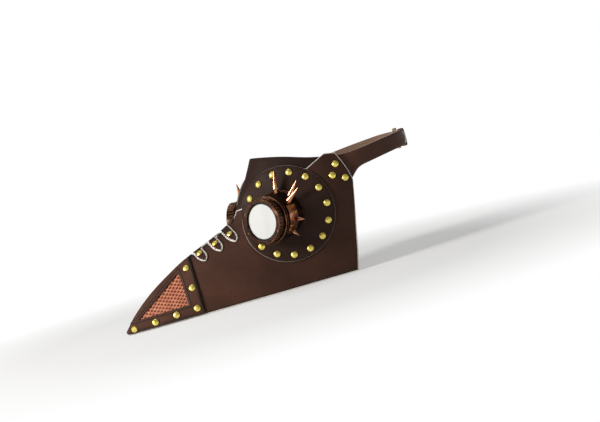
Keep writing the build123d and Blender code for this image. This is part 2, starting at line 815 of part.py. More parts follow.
def buckle_frame():
    half = STRAP_WIDTH / 2 + 1.0
    with BuildPart() as frame:
        with BuildSketch(bar_plane):
            with Locations((FRAME_REACH / 2, 0)):
                RectangleRounded(FRAME_REACH + 2 * FRAME_R, 2 * half + 4 * FRAME_R, 3.0)
                RectangleRounded(FRAME_REACH - 2 * FRAME_R, 2 * half, 1.0, mode=Mode.SUBTRACT)
        extrude(amount=FRAME_R, both=True)
        with Locations(bar_plane.location):
            Box(4 * FRAME_R, 2 * half, 4 * FRAME_R, mode=Mode.SUBTRACT)
            Cylinder(BAR_R, 2 * half + 1.0, rotation=(90, 0, 0))
    save(frame.part, "buckle_frame")


def buckle_prong():
    lift = math.degrees(math.atan2(FRAME_R + PRONG_R + 0.2, FRAME_REACH - FRAME_R))
    turned = leaning_plane(FRAME_LEAN + lift)
    with BuildPart() as prong:
        with Locations(turned.location):
            Cylinder(BAR_R + RUN + 1.1, PRONG_EYE, rotation=(90, 0, 0))
            Cylinder(
                PRONG_R, FRAME_REACH + 2.5, rotation=(0, 90, 0),
                align=(Align.CENTER, Align.CENTER, Align.MIN),
            )
            Cylinder(BAR_R + RUN, PRONG_EYE + 2, rotation=(90, 0, 0), mode=Mode.SUBTRACT)
    save(prong.part, "buckle_prong")


def strap_keeper():
    inner_y = HEAD_BACK_Y - LEATHER / 2 - 0.2
    outer_y = HEAD_BACK_Y + LEATHER * 1.5 + 2 * LAY + 0.3
    with BuildPart() as keeper:
        with Locations((KEEPER_X, (inner_y + outer_y) / 2, STRAP_BACK_Z)):
            depth = outer_y - inner_y
            Box(KEEPER_WIDTH, depth + 3.0, STRAP_WIDTH + 3.6)
            Box(KEEPER_WIDTH + 2, depth, STRAP_WIDTH + 0.6, mode=Mode.SUBTRACT)
    save(keeper.part, "strap_keeper")


os.makedirs("parts", exist_ok=True)
side_panel()
eye_patch()
forehead_panel()
ridge_lining()
ridge_tabs()
beak_tip_cover()
vent_mesh()
underside_panel()
goggle_cup()
goggle_nut()
goggle_collar()
save_each(goggle_spikes, "goggle_spikes")
save_each(vent_plate, "goggle_vent_plate")
lens_and_gasket()
bezel()
rivets()
tip_bolt_rivet()
left_strap()
right_strap()
buckle_frame()
buckle_prong()
strap_keeper()
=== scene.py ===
"""Looks of a leather plague doctor mask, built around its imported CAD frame.

The leather, mesh and tape are made again here on the same master surface as the solids, with
rolled edges, dents and thread; the metal parts keep their CAD shapes. Sizes are millimetres,
turned to metres when a mesh is made. The beak points along -Y and +X is the wearer's left.
"""

import math

import bmesh
import bpy
import numpy as np
from mathutils import Matrix, Vector
from mathutils.geometry import delaunay_2d_cdt


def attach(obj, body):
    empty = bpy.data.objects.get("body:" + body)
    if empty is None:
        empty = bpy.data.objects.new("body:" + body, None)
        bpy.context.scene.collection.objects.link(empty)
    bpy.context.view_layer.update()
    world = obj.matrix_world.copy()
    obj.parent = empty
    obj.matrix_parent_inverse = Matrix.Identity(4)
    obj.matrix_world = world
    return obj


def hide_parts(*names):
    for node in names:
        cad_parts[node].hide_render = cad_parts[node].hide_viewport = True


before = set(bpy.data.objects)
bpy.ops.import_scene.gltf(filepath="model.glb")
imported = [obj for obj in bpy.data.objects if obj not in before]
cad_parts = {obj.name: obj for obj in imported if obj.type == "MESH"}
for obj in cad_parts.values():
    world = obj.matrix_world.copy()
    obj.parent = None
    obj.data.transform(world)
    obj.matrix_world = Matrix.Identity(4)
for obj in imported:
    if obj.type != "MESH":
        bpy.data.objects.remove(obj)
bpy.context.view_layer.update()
ROOT = "mask_shell"
MM = 0.001


# ---------------------------------------------------------------- sizes shared with the solids
LEATHER = 2.0
PANEL = (-2.0, 0.0)
BROW = (-4.1, -2.1)
TAPE = (-3.1, -2.1)
PATCH = (0.1, 2.1)
MESH = (0.1, 0.6)
COVER = (0.7, 2.7)
STRAP = (-6.6, -4.6)
RIDGE_GAP = 3.0
REAR_FOOT_Y = 113.0
CHIN_Y = 22.0
FACING = math.radians(22)
PATCH_CENTRE = (48.6, 92.4)
PATCH_R = 60.0
PATCH_RIVET_R = 51.5
PATCH_FIRST_TURN = 35.5
PATCH_RIVETS = 15
UNDER_PATCH_R = 56.0
BROW_LOWER_R = 46.0
RIVET_STEP = 24.0
BROW_RIVETS = 5
BASE_CENTRE = (41.6, 93.0)
EYE_HOLE_R = 25.9
HEAD_BACK_Y = 234.0
STRAP_WIDTH = 20.0
STRAP_BACK_Z = 143.6
BAR_X = 2.0
LOOP_R = 3.15
WINDOW = [(-96.0, 56.6), (-97.4, 16.3), (-159.6, 14.8)]
TEMPLE_RIVETS = [(120.7, 136.4), (112.9, 123.7), (127.4, 116.8)]
TAB_RIVETS = [(-62.7, 72.7), (-40.9, 79.2), (-20.3, 85.6)]
TIP_RIVETS = [(-141.8, 6.9), (-115.1, 8.6), (-88.9, 9.9), (-86.9, 35.2), (-85.0, 59.6)]
TIP_BOLT = (-168.0, 5.4)
TAB_ACROSS = np.array([0.98, 0.19])
TAB_DOWN = np.array([0.19, -0.98])


def curve_through(*knots):
    """A smooth function through (place, value) pairs."""
    place, value = (np.array(column, float) for column in zip(*knots))
    slope = np.gradient(value, place)

    def at(z):
        i = int(np.clip(np.searchsorted(place, z) - 1, 0, len(place) - 2))
        h = place[i + 1] - place[i]
        s = (z - place[i]) / h
        start = (1 + 2 * s) * (1 - s) ** 2 * value[i] + s * (1 - s) ** 2 * h * slope[i]
        end = s * s * (3 - 2 * s) * value[i + 1] + s * s * (s - 1) * h * slope[i + 1]
        return float(start + end)

    return at


# The master surface, level by level: x = half_width * (1 - (1 - t) ** bow) ** (1 / blunt),
# where t runs from 0 at the front, y = front_y, to 1 at the rear, y = rear_y.
front_y = curve_through(
    (-8, -187), (0, -179.5), (20, -161), (40, -135), (56, -108), (70, -80), (77, -61), (84, -41.5),
    (90, -27.5), (97, -14), (104, -7), (110, -3), (116, -1.5), (128, 5.5), (137, 13), (157, 25.8),
    (172, 34), (180, 37),
)
half_width = curve_through((-8, 75), (0, 76), (40, 78.5), (90, 79), (130, 77), (155, 74), (180, 69))
bow = curve_through(
    (-8, 1.05), (0, 1.05), (30, 1.06), (60, 1.2), (75, 1.5), (93, 2.0), (108, 2.5), (125, 2.0),
    (142, 1.65), (180, 1.6),
)
blunt = curve_through(
    (-8, 1.22), (0, 1.22), (50, 1.15), (100, 1.1), (112, 1.15), (126, 1.55), (142, 2.1), (180, 2.2),
)


def rear_y(z):
    return 124.0 + 0.19 * z


def surface_point(t, z):
    """Point of the master surface, on the wearer's left."""
    share = (1 - (1 - t) ** bow(z)) ** (1 / max(1.0, blunt(z)))
    return np.array([half_width(z) * share, front_y(z) + (rear_y(z) - front_y(z)) * t, z])


def surface_normal(t, z):
    """Outward normal of the master surface."""
    step = 1e-4
    low, high = max(t - step, 1e-6), min(t + step, 1 - 1e-6)
    along = surface_point(high, z) - surface_point(low, z)
    up = surface_point((low + high) / 2, z + 0.05) - surface_point((low + high) / 2, z - 0.05)
    normal = np.cross(along, up)
    return normal / np.linalg.norm(normal)


def on_side(y, z):
    """Share t of the level curve at which the side view shows the place (y, z)."""
    return min(max((y - front_y(z)) / (rear_y(z) - front_y(z)), 0.0), 1.0)


# Sheets are drawn flat in (u, z): u = t ** 0.75, spread so that a unit of u is about 300 mm,
# negative on the wearer's right.
SPREAD = 300.0
FOLD = 0.035  # half width, in t ** 0.75, of the rounded fold over the ridge


def flat(y, z):
    return SPREAD * on_side(y, z) ** 0.75, z


def skin_point(q, z, depth):
    """Place on the skin: q is the spread u, depth the distance out from the master surface."""
    u = abs(q) / SPREAD
    t = min(u ** (4 / 3), 1.0)
    point = surface_point(t, z)
    normal = surface_normal(max(t, FOLD ** (4 / 3)), z)
    if u < FOLD:
        middle = np.array([0.0, normal[1], normal[2]])
        middle /= np.linalg.norm(middle)
        share = u / FOLD
        normal = middle * (1 - share) + normal * share
        normal /= np.linalg.norm(normal)
    place = point + normal * depth
    if q < 0:
        place[0] = -place[0]
        normal = normal * np.array([-1, 1, 1])
    return place, normal


TO_BEAK = np.array([-math.sin(FACING), -math.cos(FACING), 0.0])


def around(centre, radius, turn):
    """Side-view place on a circle on the cheek, turn in degrees up from the beak side."""
    z = centre[1] + radius * math.sin(math.radians(turn))
    middle = surface_point(on_side(*centre), centre[1])
    reach = radius * math.cos(math.radians(turn))
    low, high = 0.0, 1.0
    for _ in range(40):
        t = (low + high) / 2
        if (surface_point(t, z) - middle) @ TO_BEAK > reach:
            low = t
        else:
            high = t
    return float(surface_point(low, z)[1]), z


def circle(centre, radius, count):
    return [around(centre, radius, 360 * i / count) for i in range(count)]


patch_rivets = [around(PATCH_CENTRE, PATCH_RIVET_R, PATCH_FIRST_TURN + RIVET_STEP * i)
                for i in range(PATCH_RIVETS)]
all_rivets = patch_rivets + TEMPLE_RIVETS + TAB_RIVETS + TIP_RIVETS + [TIP_BOLT]
rivet_spots = np.array([surface_point(on_side(y, z), z) for y, z in all_rivets])


# ---------------------------------------------------------------- outlines, seen from the side
def smooth(points, steps=8):
    """Catmull-Rom curve through points."""
    p = [np.array(point, float) for point in points]
    p = [2 * p[0] - p[1]] + p + [2 * p[-1] - p[-2]]
    out = []
    for i in range(1, len(p) - 2):
        for k in range(steps):
            s = k / steps
            a, b, c, d = p[i - 1], p[i], p[i + 1], p[i + 2]
            out.append(
                0.5 * (2 * b + (c - a) * s + (2 * a - 5 * b + 4 * c - d) * s * s
                       + (3 * b - a - 3 * c + d) * s ** 3)
            )
    return [tuple(point) for point in out] + [tuple(p[-2])]


def straight(points, step=2.0):
    """The same polyline with a point every step."""
    out = []
    for a, b in zip(points, points[1:]):
        a, b = np.array(a, float), np.array(b, float)
        count = max(1, int(np.linalg.norm(b - a) / step))
        out += [tuple(a + (b - a) * i / count) for i in range(count)]
    return out + [tuple(points[-1])]


def flatten(points):
    return [flat(y, z) for y, z in points]


def ridge_side(z, half):
    """Flat place where the skin is half wide of the plane of symmetry."""
    low, high = 0.0, 1.0
    for _ in range(40):
        t = (low + high) / 2
        if surface_point(t, z)[0] < half:
            low = t
        else:
            high = t
    return SPREAD * high ** 0.75, z


def panel_loops():
    top = smooth([(86.0, 141.0), (110.2, 152.6)], 6)[:-1] + [(110.2, 152.6), (112.0, 153.0)]
    tab = smooth([(123.5, 150.2), (125.0, 149.4), (133.0, 128.0), (136.4, 112.0)], 8)
    rear = smooth([(136.4, 112.0), (126.0, 62.0), (118.5, 24.0), (REAR_FOOT_Y, 0.0)], 14)
    edge = flatten(straight(top) + tab[:-1] + rear[:-1] + straight([(REAR_FOOT_Y, 0.0), (-171.0, 0.0)]))
    edge += [ridge_side(z, RIDGE_GAP / 2) for z in np.linspace(0, 110.5, 60)]
    edge += [ridge_side(112.0, RIDGE_GAP / 2)]
    under = [around(PATCH_CENTRE, UNDER_PATCH_R, turn) for turn in (22, 35, 50, 65, 80, 95, 105, 115)]
    edge += flatten(smooth(under, 4))[:-1] + [flat(*under[-1])]
    vent = flatten(straight(WINDOW + WINDOW[:1]))[:-1]
    hole = flatten(circle(BASE_CENTRE, EYE_HOLE_R, 72))
    return [edge, hole, vent]


def brow_path():
    """Ridge to ridge: from the nose up under the patch, round the temple and back over the brow."""
    first = PATCH_FIRST_TURN - RIVET_STEP / 2
    last = first + BROW_RIVETS * RIVET_STEP
    lower = smooth([around(PATCH_CENTRE, BROW_LOWER_R, turn) for turn in np.linspace(first, last, 7)], 6)
    rear = [lower[-1], (98.0, 121.0), (107.0, 114.5), (131.0, 110.0), (131.0, 116.0), (120.5, 147.5)]
    top = smooth([(120.5, 147.5), (92.0, 154.0), (62.0, 164.0), (34.0, 171.5)], 10)
    nose = straight([(front_y(106.5), 106.5), lower[0]])[:-1]
    return nose + lower[:-1] + straight(rear)[:-1] + top


def cover_path():
    rear = smooth([(-76.2, 73.6), (-78.4, 56.0), (-79.8, 38.0), (-80.9, 20.0), (-81.7, 1.0)], 6)
    return rear[:-1] + straight([(-81.7, 1.0), (-177.0, 1.0)])


def tab_place(spot, right, low):
    """Side-view place right of and below the rivet of a ridge tab, along its own axes."""
    return tuple(np.array(spot) + TAB_ACROSS * right + TAB_DOWN * low)


def tab_path(spot):
    """Shield shape: straight sides from over the ridge, then round to a blunt point."""
    half, shoulder = 6.7, 3.0
    side = straight([tab_place(spot, -half, -9.0), tab_place(spot, -half, 2.6)], 1.0)
    low = [(-half, shoulder), (-4.6, 7.2), (0.0, 10.2), (4.6, 7.2), (half, shoulder)]
    point = smooth([tab_place(spot, *place) for place in low], 5)
    return side + point + straight([tab_place(spot, half, 2.6), tab_place(spot, half, -9.0)], 1.0)


# ---------------------------------------------------------------- making sheets
EDGE_FALL = 0.9  # how far a cut edge slopes down for each millimetre of its width
ARCH_REACH = 10.0  # how far from the ridge a tab still stands up over it
DARK_RIDGE_REACH = 20.0
NOSE_Z = 92.0  # above this the pale edges of the side panels show at the bridge of the nose
DENT_DEPTH = 0.45
DENT_START = 4.0
DENT_SPREAD = 2.4
WAVE_HEIGHT = 0.22


def dent(place):
    """Depth of the dents that rivets press into the leather around their heads."""
    mirrored = np.array([abs(place[0]), place[1], place[2]])
    gap = np.sqrt(((rivet_spots - mirrored) ** 2).sum(1).min())
    if gap <= DENT_START:
        return DENT_DEPTH
    return DENT_DEPTH * math.exp(-(((gap - DENT_START) / DENT_SPREAD) ** 2))


def wave(place):
    """Slow unevenness of worked leather."""
    x, y, z = place
    return WAVE_HEIGHT * math.sin(y / 17.0 + 1.3 * math.sin(z / 23.0)) * math.sin(z / 14.0 + x / 31.0)


def inset(loop, width, sharpest=0.6):
    """The closed loop moved inwards by width, or outwards if width is negative.

    sharpest is the sine of half the sharpest corner that still keeps its full width."""
    ring = np.array(loop, float)
    ahead = np.roll(ring, -1, axis=0) - ring
    area = (ring[:, 0] * ahead[:, 1] - ring[:, 1] * ahead[:, 0]).sum()
    ahead /= np.linalg.norm(ahead, axis=1, keepdims=True)
    inward = np.stack([-ahead[:, 1], ahead[:, 0]], axis=1) * np.sign(area)
    shared = inward + np.roll(inward, 1, axis=0)
    shared /= np.maximum(np.linalg.norm(shared, axis=1, keepdims=True), 1e-6)
    reach = width / np.maximum((shared * inward).sum(1, keepdims=True), sharpest)
    return [tuple(spot) for spot in ring + shared * reach]


def triangulate(loops, step, creases=()):
    """Triangles filling the first loop outside the others, with edges along the creases too."""
    points, edges = [], []
    for loop in [*loops, *creases]:
        start = len(points)
        count = len(loop)
        points += loop
        edges += [(start + i, start + (i + 1) % count) for i in range(count)]
    boundary = np.array(points)
    low, high = boundary.min(0), boundary.max(0)
    for j, z in enumerate(np.arange(low[1] + step / 2, high[1], step)):
        for q in np.arange(low[0] + step * (0.5 if j % 2 else 1.0), high[0], step):
            gap = ((boundary - (q, z)) ** 2).sum(1).min()
            if gap > (0.55 * step) ** 2:
                points.append((q, z))
    made = delaunay_2d_cdt([Vector(p) for p in points], edges, [], 0, 1e-4)
    verts = np.array([tuple(v) for v in made[0]])
    faces = []
    for face in made[2]:
        middle = verts[list(face)].mean(0)
        if inside(middle, loops[0]) and not any(inside(middle, hole) for hole in loops[1:]):
            faces.append(tuple(face))
    return verts, faces


def inside(point, loop):
    """True if the point is inside the closed loop."""
    ring = np.array(loop)
    nxt = np.roll(ring, -1, axis=0)
    crosses = (ring[:, 1] > point[1]) != (nxt[:, 1] > point[1])
    height = np.where(nxt[:, 1] == ring[:, 1], 1e-9, nxt[:, 1] - ring[:, 1])
    at = ring[:, 0] + (point[1] - ring[:, 1]) / height * (nxt[:, 0] - ring[:, 0])
    return bool((crosses & (at > point[0])).sum() % 2)


def link(name, mesh, body=ROOT):
    piece = bpy.data.objects.new(name, mesh)
    bpy.context.scene.collection.objects.link(piece)
    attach(piece, body)
    return piece


def thick_sheet(name, flat_verts, faces, place_at, materials, edge_round=0.4, edge_slot=-1, rim=()):
    """Sheet with a face side, a back and raw edges, from a flat triangle mesh.

    place_at gives (outer place, inner place) in millimetres for a flat point. Faces that touch
    a point of the rim are raw edge."""
    count = len(flat_verts)
    outer, inner = [], []
    for q, z in flat_verts:
        top, bottom = place_at(q, z)
        outer.append(top)
        inner.append(bottom)
    ordered = []
    for face in faces:
        a, b, c = (np.array(flat_verts[i]) for i in face[:3])
        turn = (b[0] - a[0]) * (c[1] - a[1]) - (b[1] - a[1]) * (c[0] - a[0])
        ordered.append(tuple(face) if turn > 0 else tuple(reversed(face)))
    used = {}
    for face in ordered:
        for i, v in enumerate(face):
            used[(v, face[(i + 1) % len(face)])] = True
    border = [pair for pair in used if (pair[1], pair[0]) not in used]
    walls = [(b, a, a + count, b + count) for a, b in border]
    backs = [tuple(v + count for v in reversed(face)) for face in ordered]
    mesh = bpy.data.meshes.new(name)
    mesh.from_pydata([tuple(p * MM) for p in outer + inner], [], ordered + backs + walls)
    for material in materials:
        mesh.materials.append(material)
    slots = [2 if any(v in rim for v in face) else 0 for face in ordered]
    slots += [1] * len(backs) + [2] * len(walls)
    mesh.polygons.foreach_set("material_index", slots)
    mesh.polygons.foreach_set("use_smooth", [True] * len(slots))
    piece = link(name, mesh)
    tidy = bmesh.new()
    tidy.from_mesh(mesh)
    bmesh.ops.delete(tidy, geom=[v for v in tidy.verts if not v.link_faces], context="VERTS")
    bmesh.ops.recalc_face_normals(tidy, faces=tidy.faces)
    tidy.to_mesh(mesh)
    tidy.free()
    if edge_round:
        bevel = piece.modifiers.new("edge", "BEVEL")
        bevel.width = edge_round * MM
        bevel.segments = 2
        bevel.limit_method = "ANGLE"
        bevel.angle_limit = math.radians(55)
        bevel.harden_normals = False
        bevel.material = edge_slot
    return piece


def skin_sheet(name, loops, layer, materials, step=4.0, edge_round=0.4, calm=False, band=0.0, arch=0.0,
               dark_ridge=False, edge_fall=EDGE_FALL):
    """Leather sheet between two offsets of the master surface.

    band is the width of the sloping cut edge seen from outside, arch the extra height over
    the ridge; with dark_ridge the edge along the beak ridge stays dyed."""
    creases = []
    if band:
        creases = [inset(loops[0], band)] + [inset(hole, -band) for hole in loops[1:]]
    verts, faces = triangulate(loops, step, creases)
    border = np.array([spot for loop in loops for spot in loop])
    rim = set()
    if band:
        rim = {i for i, spot in enumerate(verts) if np.abs(border - spot).sum(1).min() < 1e-3}
    if dark_ridge:
        rim = {i for i in rim if abs(verts[i][0]) > DARK_RIDGE_REACH or verts[i][1] > NOSE_Z}
    cut = {(round(float(verts[i][0]), 3), round(float(verts[i][1]), 3)) for i in rim}

    def place_at(q, z):
        base, normal = skin_point(q, z, 0.0)
        shift = 0.0 if calm else wave(base) - dent(base)
        shift += arch * math.exp(-(q / ARCH_REACH) ** 2)
        fall = edge_fall * band if (round(float(q), 3), round(float(z), 3)) in cut else 0.0
        return base + normal * (layer[1] + shift - fall), base + normal * (layer[0] + min(shift, 0.1 + arch))

    return thick_sheet(name, verts, faces, place_at, materials, edge_round, 2 if band else -1, rim)


def both_sides(loops):
    """The same loops for the wearer's right."""
    return [[(-q, z) for q, z in loop] for loop in loops]


def over_ridge(path):
    """Closed loop of a piece folded over the ridge, from its outline on one side."""
    side = flatten(path)
    return side + [(-q, z) for q, z in reversed(side) if q > 1e-6]


# ---------------------------------------------------------------- materials
class Nodes:
    """Short names for building one material."""

    def __init__(self, name):
        self.material = bpy.data.materials.new(name)
        self.material.use_nodes = True
        self.tree = self.material.node_tree
        self.surface = self.tree.nodes["Principled BSDF"]
        self.place = self.add("ShaderNodeTexCoord").outputs["Object"]

    def add(self, kind, **settings):
        node = self.tree.nodes.new(kind)
        for key, value in settings.items():
            setattr(node, key, value)
        return node

    def join(self, source, target):
        self.tree.links.new(source, target)

    def noise(self, scale, detail=4.0, rough=0.55, stretch=None):
        node = self.add("ShaderNodeTexNoise")
        node.inputs["Scale"].default_value = scale
        node.inputs["Detail"].default_value = detail
        node.inputs["Roughness"].default_value = rough
        self.join(self.stretched(stretch), node.inputs["Vector"])
        return node.outputs["Fac"]

    def stretched(self, stretch):
        if stretch is None:
            return self.place
        mapping = self.add("ShaderNodeMapping")
        mapping.inputs["Scale"].default_value = stretch
        self.join(self.place, mapping.inputs["Vector"])
        return mapping.outputs["Vector"]

    def cells(self, scale):
        node = self.add("ShaderNodeTexVoronoi")
        node.inputs["Scale"].default_value = scale
        self.join(self.place, node.inputs["Vector"])
        return node.outputs["Distance"]

    def ramp(self, source, low, high, start=0.0, end=1.0):
        node = self.add("ShaderNodeMapRange", clamp=True)
        node.inputs["From Min"].default_value = low
        node.inputs["From Max"].default_value = high
        node.inputs["To Min"].default_value = start
        node.inputs["To Max"].default_value = end
        self.join(source, node.inputs["Value"])
        return node.outputs["Result"]

    def mix(self, share, first, second):
        node = self.add("ShaderNodeMix", data_type="RGBA")
        self.join(share, node.inputs["Factor"])
        for socket, value in ((node.inputs[6], first), (node.inputs[7], second)):
            if isinstance(value, tuple):
                socket.default_value = (*value, 1.0)
            else:
                self.join(value, socket)
        return node.outputs[2]

    def maths(self, operation, first, second):
        node = self.add("ShaderNodeMath", operation=operation)
        for socket, value in zip(node.inputs, (first, second)):
            if isinstance(value, (int, float)):
                socket.default_value = value
            else:
                self.join(value, socket)
        return node.outputs[0]

    def bump(self, height, strength, distance, under=None):
        node = self.add("ShaderNodeBump")
        node.inputs["Strength"].default_value = strength
        node.inputs["Distance"].default_value = distance
        self.join(height, node.inputs["Height"])
        if under is not None:
            self.join(under, node.inputs["Normal"])
        return node.outputs["Normal"]

    def edges(self, radius):
        """1 on sharp outer and inner edges, 0 on flat faces."""
        bevel = self.add("ShaderNodeBevel", samples=4)
        bevel.inputs["Radius"].default_value = radius
        plain = self.add("ShaderNodeNewGeometry").outputs["Normal"]
        dot = self.add("ShaderNodeVectorMath", operation="DOT_PRODUCT")
        self.join(bevel.outputs["Normal"], dot.inputs[0])
        self.join(plain, dot.inputs[1])
        return self.ramp(dot.outputs["Value"], 0.99, 0.88)

    def recess(self, distance):
        """1 in the open, 0 in narrow recesses."""
        node = self.add("ShaderNodeAmbientOcclusion", samples=4)
        node.inputs["Distance"].default_value = distance
        return node.outputs["AO"]

    def set(self, **values):
        names = {"color": "Base Color", "rough": "Roughness", "metal": "Metallic", "normal": "Normal",
                 "coat": "Coat Weight", "sheen": "Sheen Weight", "spec": "Specular IOR Level"}
        for key, value in values.items():
            socket = self.surface.inputs[names[key]]
            if isinstance(value, tuple):
                socket.default_value = (*value, 1.0)
            elif isinstance(value, (int, float)):
                socket.default_value = value
            else:
                self.join(value, socket)
        return self.material


BEAK_UNSHADED_Y = -0.04  # painted shade: the leather is left lighter towards the beak and darkened most at the cheeks
CHEEK_DARK_Y = 0.11


def leather(name, color, rough=0.5, grain=1.0):
    """Finished face of dyed leather: pores, creases, uneven dye and handling marks, with painted shade in
    recesses and towards the cheeks.
    """
    n = Nodes(name)
    dark = tuple(c * 0.72 for c in color)
    light = tuple(min(1.0, c * 1.28) for c in color)
    patches = n.ramp(n.noise(14.0, 3.0), 0.35, 0.68)
    speck = n.ramp(n.noise(420.0, 2.0), 0.35, 0.7)
    base = n.mix(patches, dark, light)
    base = n.mix(n.maths("MULTIPLY", speck, 0.25), base, tuple(c * 0.6 for c in color))
    rub = n.maths("MULTIPLY", n.ramp(n.noise(55.0, 6.0, 0.7, (1.0, 0.5, 1.6)), 0.56, 0.8), 0.35)
    base = n.mix(rub, base, tuple(min(1.0, c * 1.9) for c in color))
    shine = n.ramp(n.noise(38.0, 5.0), 0.3, 0.7, rough - 0.09, rough + 0.12)
    pores = n.bump(n.cells(900.0), 0.28 * grain, 0.0004)
    creases = n.bump(n.noise(190.0, 6.0, 0.65), 0.22 * grain, 0.0006, pores)
    # painted shade: the leather darkens along Y from the beak to the cheeks, for the fall of light towards
    # the rear
    split = n.add("ShaderNodeSeparateXYZ")
    n.join(n.place, split.inputs[0])
    painted_shade = n.ramp(split.outputs["Y"], BEAK_UNSHADED_Y, CHEEK_DARK_Y, 0.0, 0.55)
    base = n.mix(painted_shade, base, tuple(c * 0.35 for c in color))
    # painted shade: the colour darkens to about a fifth in narrow recesses, round rivet heads and along the
    # edges of pieces laid over others
    unshaded = n.ramp(n.recess(0.004), 0.40, 0.92)
    base = n.mix(unshaded, tuple(c * 0.22 for c in color), base)
    return n.set(color=base, rough=shine, normal=creases, spec=0.13)


def suede(name, color):
    """Flesh side of leather: fibrous and matt."""
    n = Nodes(name)
    fibres = n.noise(520.0, 8.0, 0.8)
    base = n.mix(n.ramp(fibres, 0.35, 0.65), tuple(c * 0.7 for c in color), color)
    return n.set(color=base, rough=0.92, normal=n.bump(fibres, 0.6, 0.0005), sheen=0.2)


def raw_edge(name, color):
    """Cut edge of leather: pale fibres in fine layers."""
    n = Nodes(name)
    fibres = n.noise(700.0, 6.0, 0.75)
    soil = n.ramp(n.noise(45.0, 5.0), 0.35, 0.7)
    base = n.mix(n.ramp(fibres, 0.3, 0.7), tuple(c * 0.78 for c in color), color)
    base = n.mix(n.maths("MULTIPLY", soil, 0.35), base, tuple(c * 0.5 for c in color))
    return n.set(color=base, rough=0.85, normal=n.bump(fibres, 0.5, 0.0004))


def cloth(name, color):
    """Closely woven tape."""
    n = Nodes(name)
    wave_a = n.add("ShaderNodeTexWave", bands_direction="Y")
    wave_b = n.add("ShaderNodeTexWave", bands_direction="Z")
    for node in (wave_a, wave_b):
        node.inputs["Scale"].default_value = 500.0
        n.join(n.place, node.inputs["Vector"])
    weave = n.maths("MULTIPLY", wave_a.outputs["Fac"], wave_b.outputs["Fac"])
    base = n.mix(weave, tuple(c * 0.5 for c in color), color)
    return n.set(color=base, rough=0.9, normal=n.bump(weave, 0.5, 0.0003), sheen=0.3)


def thread(name, color):
    n = Nodes(name)
    twist = n.noise(1800.0, 3.0)
    return n.set(color=n.mix(twist, tuple(c * 0.5 for c in color), color), rough=0.7,
                 normal=n.bump(twist, 0.4, 0.0002))


def old_copper(name, bright_share=0.0, rough=0.34):
    """Antique copper: dark patina in the recesses, polished copper on the edges."""
    n = Nodes(name)
    patina = n.mix(n.ramp(n.noise(160.0, 5.0), 0.35, 0.75), (0.006, 0.004, 0.0035), (0.055, 0.022, 0.012))
    copper = n.mix(n.ramp(n.noise(90.0, 4.0), 0.4, 0.7), (0.60, 0.235, 0.12), (0.85, 0.43, 0.25))
    edge = n.edges(0.0009)
    smudge = n.ramp(n.noise(60.0, 6.0, 0.7), 0.66 - 0.4 * bright_share, 0.80 - 0.3 * bright_share)
    open_air = n.ramp(n.recess(0.006), 0.35, 0.9)
    polished = n.maths("MULTIPLY", n.maths("MAXIMUM", edge, smudge), open_air)
    base = n.mix(polished, patina, copper)
    fine = n.bump(n.noise(600.0, 5.0), 0.12, 0.0003)
    shine = n.ramp(polished, 0.0, 1.0, rough + 0.12, rough - 0.12)
    return n.set(color=base, rough=shine, metal=0.95, normal=fine)


def bright_brass(name, color, rough=0.2):
    n = Nodes(name)
    tarnish = n.ramp(n.noise(240.0, 5.0), 0.45, 0.75)
    # painted shade: the brass darkens to a quarter in narrow recesses, such as where a head meets the
    # leather
    rim = n.ramp(n.recess(0.0015), 0.3, 0.85)
    base = n.mix(tarnish, color, tuple(c * 0.62 for c in color))
    base = n.mix(rim, tuple(c * 0.25 for c in color), base)
    shine = n.ramp(n.noise(500.0, 4.0), 0.3, 0.7, rough - 0.05, rough + 0.12)
    return n.set(color=base, rough=shine, metal=0.8, normal=n.bump(n.noise(900.0), 0.05, 0.0002))


def milky_lens(name, centre):
    """Clear lens painted a milky grey for the pale light seen in it, with painted shade of its seat: a
    near-black ring round the rim.
    """
    n = Nodes(name)
    # painted light: the clear glass is coloured a milky grey for the pale light seen in it
    haze = n.noise(35.0, 3.0, 0.5, (1.0, 1.0, 0.15))
    base = n.mix(n.ramp(haze, 0.3, 0.7), (0.52, 0.53, 0.50), (0.62, 0.62, 0.60))
    # painted shade: a near-black ring round the edge of the lens, where its seat shades it
    reach = n.add("ShaderNodeVectorMath", operation="DISTANCE")
    n.join(n.place, reach.inputs[0])
    reach.inputs[1].default_value = centre
    rim = n.ramp(reach.outputs["Value"], 0.0212, 0.0222)
    base = n.mix(rim, base, (0.008, 0.007, 0.007))
    return n.set(color=base, rough=n.ramp(n.noise(300.0), 0.3, 0.7, 0.14, 0.24), coat=0.3, spec=0.4)


def rubber(name):
    n = Nodes(name)
    grain = n.noise(700.0, 3.0)
    return n.set(color=(0.015, 0.015, 0.015), rough=n.ramp(grain, 0.3, 0.7, 0.55, 0.75),
                 normal=n.bump(grain, 0.2, 0.0002))


panel_face = leather("panel_face", (0.062, 0.0255, 0.0155), 0.58)
patch_face = leather("patch_face", (0.037, 0.0158, 0.0102), 0.6)
brow_face = leather("brow_face", (0.028, 0.0122, 0.0080), 0.62)
tab_face = leather("tab_face", (0.046, 0.020, 0.0135), 0.52, 1.3)
cover_face = leather("cover_face", (0.078, 0.033, 0.0205), 0.58, 1.5)
strap_face = leather("strap_face", (0.110, 0.047, 0.030), 0.5)
flesh = suede("flesh_side", (0.22, 0.13, 0.085))
pale_edge = raw_edge("pale_edge", (0.72, 0.66, 0.60))
soiled_edge = raw_edge("soiled_edge", (0.24, 0.19, 0.16))
dark_edge = raw_edge("dark_edge", (0.022, 0.014, 0.011))
tape_cloth = cloth("tape_cloth", (0.012, 0.012, 0.013))
dark_thread = thread("dark_thread", (0.009, 0.006, 0.006))
copper_dark = old_copper("copper_dark", 0.1)
copper_rim = old_copper("copper_rim", 0.25, 0.26)
copper_bright = old_copper("copper_bright", 1.1, 0.26)
rivet_brass = bright_brass("rivet_brass", (0.95, 0.76, 0.17), 0.34)
